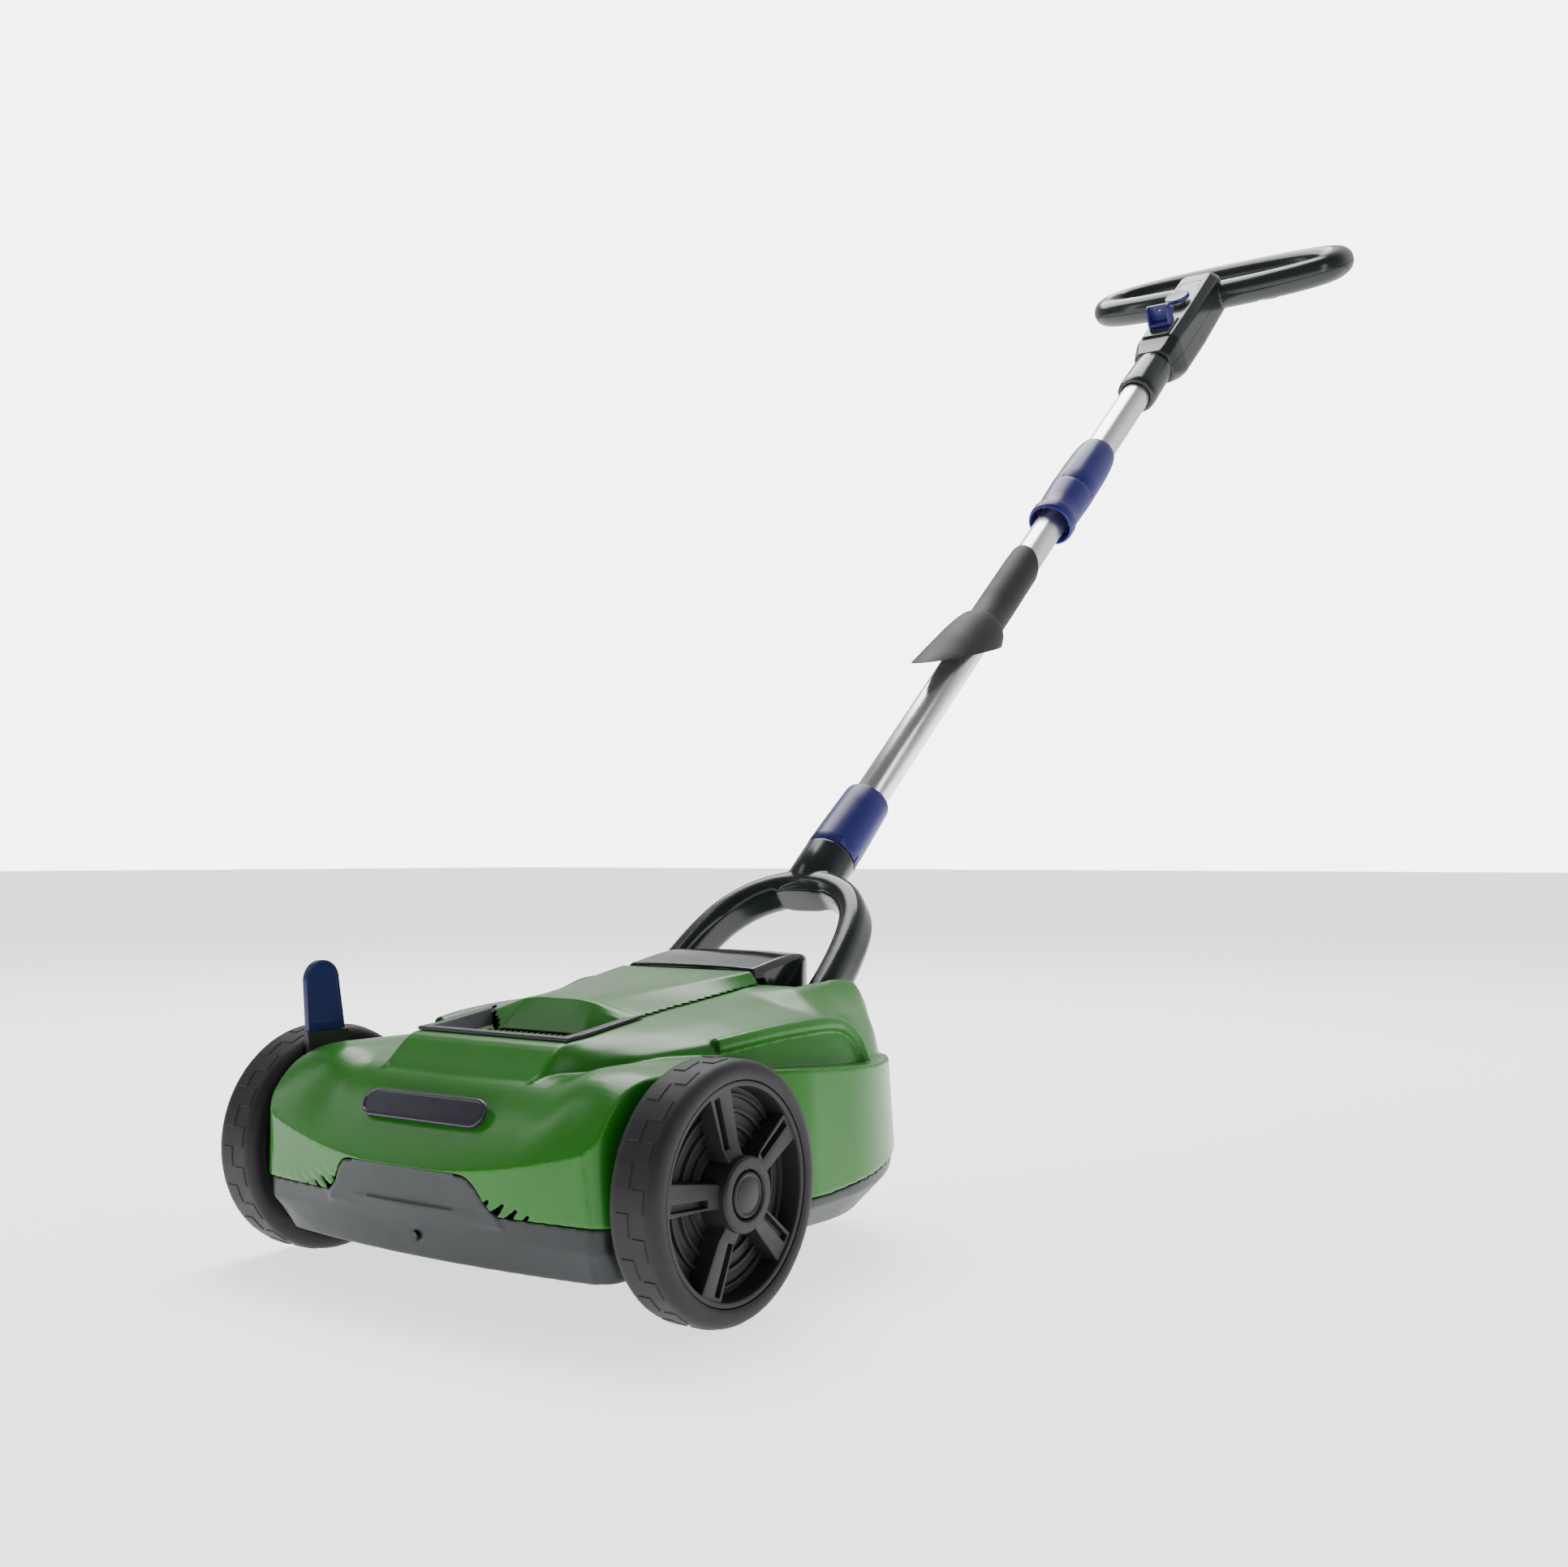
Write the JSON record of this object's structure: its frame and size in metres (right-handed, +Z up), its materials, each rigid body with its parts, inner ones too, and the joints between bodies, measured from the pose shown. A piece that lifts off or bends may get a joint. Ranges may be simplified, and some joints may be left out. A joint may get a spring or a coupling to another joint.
{
  "type": "lawn mower",
  "caption": "Compact cordless rotary lawn mower: front wheels, rear roller, height lever and a folding telescopic handle that ends in a hoop grip.",
  "frame": {"origin": "middle of the footprint, on the ground", "axes": "+X to the side away from the height lever, +Y from the nose to the hoop grip, +Z up"},
  "size_m": [0.4096, 1.3915, 1.0359],
  "materials": {
    "green": "satin moulded",
    "dark_grey": "fine moulded texture",
    "gloss_grey": "glossy moulded",
    "lid_grey": "polished",
    "black": "matte moulded",
    "wheel_plastic": "matte moulded",
    "tyre": "matte, with a moulded tread",
    "rubber": "matte",
    "blue": "satin moulded",
    "aluminium": "bright drawn tube",
    "steel": "bright machined",
    "brass": "bright",
    "board": "solder resist"
  },
  "bodies": {
    "deck": {"base_screw_1": "steel", "base_screw_2": "steel", "base_screw_3": "steel", "base_screw_4": "steel", "battery_bay": "dark_grey", "battery_pack": "black", "battery_terminals": "brass", "control_board": "board", "crank_bush_left": "black", "crank_bush_right": "black", "deck_base": "dark_grey", "handle_pivot_pin_left": "steel", "handle_pivot_pin_right": "steel", "hood": "green", "lower_bearing": "steel", "motor_can": "steel", "motor_cover": "green", "motor_mount": "dark_grey", "nose_badge": "gloss_grey", "nose_screw": "black", "roller_axle": "steel", "roller_bracket": "dark_grey", "upper_bearing": "steel", "vent_mesh": "green", "vent_surround": "dark_grey"},
    "blade": {"motor_shaft": "steel", "cooling_fan": "black", "blade_holder": "aluminium", "blade": "steel", "blade_bolt": "steel"},
    "height_crank": {"cross_shaft": "steel", "crank_arm_left": "black", "crank_arm_right": "black", "stub_axle_left": "steel", "stub_axle_right": "steel", "height_lever": "blue"},
    "wheel_left": {"tyre_left": "tyre", "rim_left": "wheel_plastic", "hub_cap_left": "wheel_plastic"},
    "wheel_right": {"tyre_right": "tyre", "rim_right": "wheel_plastic", "hub_cap_right": "wheel_plastic"},
    "roller": {"rear_roller": "black"},
    "lid": {"battery_lid": "lid_grey"},
    "handle": {"handle_fork": "gloss_grey", "lower_tube": "aluminium", "tube_grip": "rubber"},
    "lower_sleeve": {"lower_sleeve": "blue"},
    "upper_sleeve": {"upper_sleeve_nut": "blue"},
    "upper_handle": {"upper_tube": "aluminium", "upper_sleeve_base": "blue", "handle_collar": "gloss_grey", "handle_shell_upper": "gloss_grey", "handle_shell_lower": "gloss_grey", "micro_switch": "black", "key_socket": "black"},
    "key": {"safety_key": "blue"},
    "button": {"lock_button": "blue"},
    "bail": {"switch_bail": "gloss_grey"}
  },
  "joints": [
    {"name": "blade_spin", "type": "hinge", "parent": "deck", "child": "blade", "pos_m": [0, -0.46809, 0.04], "axis": [0, 0, 1], "continuous": true},
    {"name": "height_adjust", "type": "hinge", "parent": "deck", "child": "height_crank", "pos_m": [0, -0.58809, 0.1], "axis": [1, 0, 0], "range_deg": [-20, 20]},
    {"name": "wheel_left_spin", "type": "hinge", "parent": "height_crank", "child": "wheel_left", "pos_m": [-0.1802, -0.60609, 0.08], "axis": [1, 0, 0], "continuous": true},
    {"name": "wheel_right_spin", "type": "hinge", "parent": "height_crank", "child": "wheel_right", "pos_m": [0.1802, -0.60609, 0.08], "axis": [1, 0, 0], "continuous": true},
    {"name": "roller_spin", "type": "hinge", "parent": "deck", "child": "roller", "pos_m": [0, -0.32809, 0.02], "axis": [1, 0, 0], "continuous": true},
    {"name": "lid_open", "type": "hinge", "parent": "deck", "child": "lid", "pos_m": [0, -0.40959, 0.194], "axis": [1, 0, 0], "range_deg": [0, 70]},
    {"name": "handle_fold", "type": "hinge", "parent": "deck", "child": "handle", "pos_m": [0, -0.36799, 0.1584], "axis": [1, 0, 0], "range_deg": [0, 48]},
    {"name": "lower_sleeve_turn", "type": "hinge", "parent": "handle", "child": "lower_sleeve", "pos_m": [0, -0.36799, 0.1584], "axis": [0, 0.7581, 0.6521], "range_deg": [0, 90]},
    {"name": "upper_sleeve_turn", "type": "hinge", "parent": "upper_handle", "child": "upper_sleeve", "pos_m": [0, -0.36799, 0.1584], "axis": [0, 0.7581, 0.6521], "range_deg": [0, 90]},
    {"name": "telescope", "type": "slide", "parent": "handle", "child": "upper_handle", "axis": [0, 0.7581, 0.6521], "range_m": [-0.06, 0.14]},
    {"name": "key_pull", "type": "slide", "parent": "upper_handle", "child": "key", "axis": [0, -0.6521, 0.7581], "range_m": [0, 0.03]},
    {"name": "button_press", "type": "slide", "parent": "upper_handle", "child": "button", "axis": [0, 0.6521, -0.7581], "range_m": [0, 0.003], "stiffness_N_per_m": 300, "springref_m": -0.0006},
    {"name": "bail_squeeze", "type": "hinge", "parent": "upper_handle", "child": "bail", "pos_m": [0, 0.58563, 0.95599], "axis": [1, 0, 0], "range_deg": [0, 12], "stiffness_Nm_per_rad": 0.3, "springref_deg": -5.73}
  ]
}
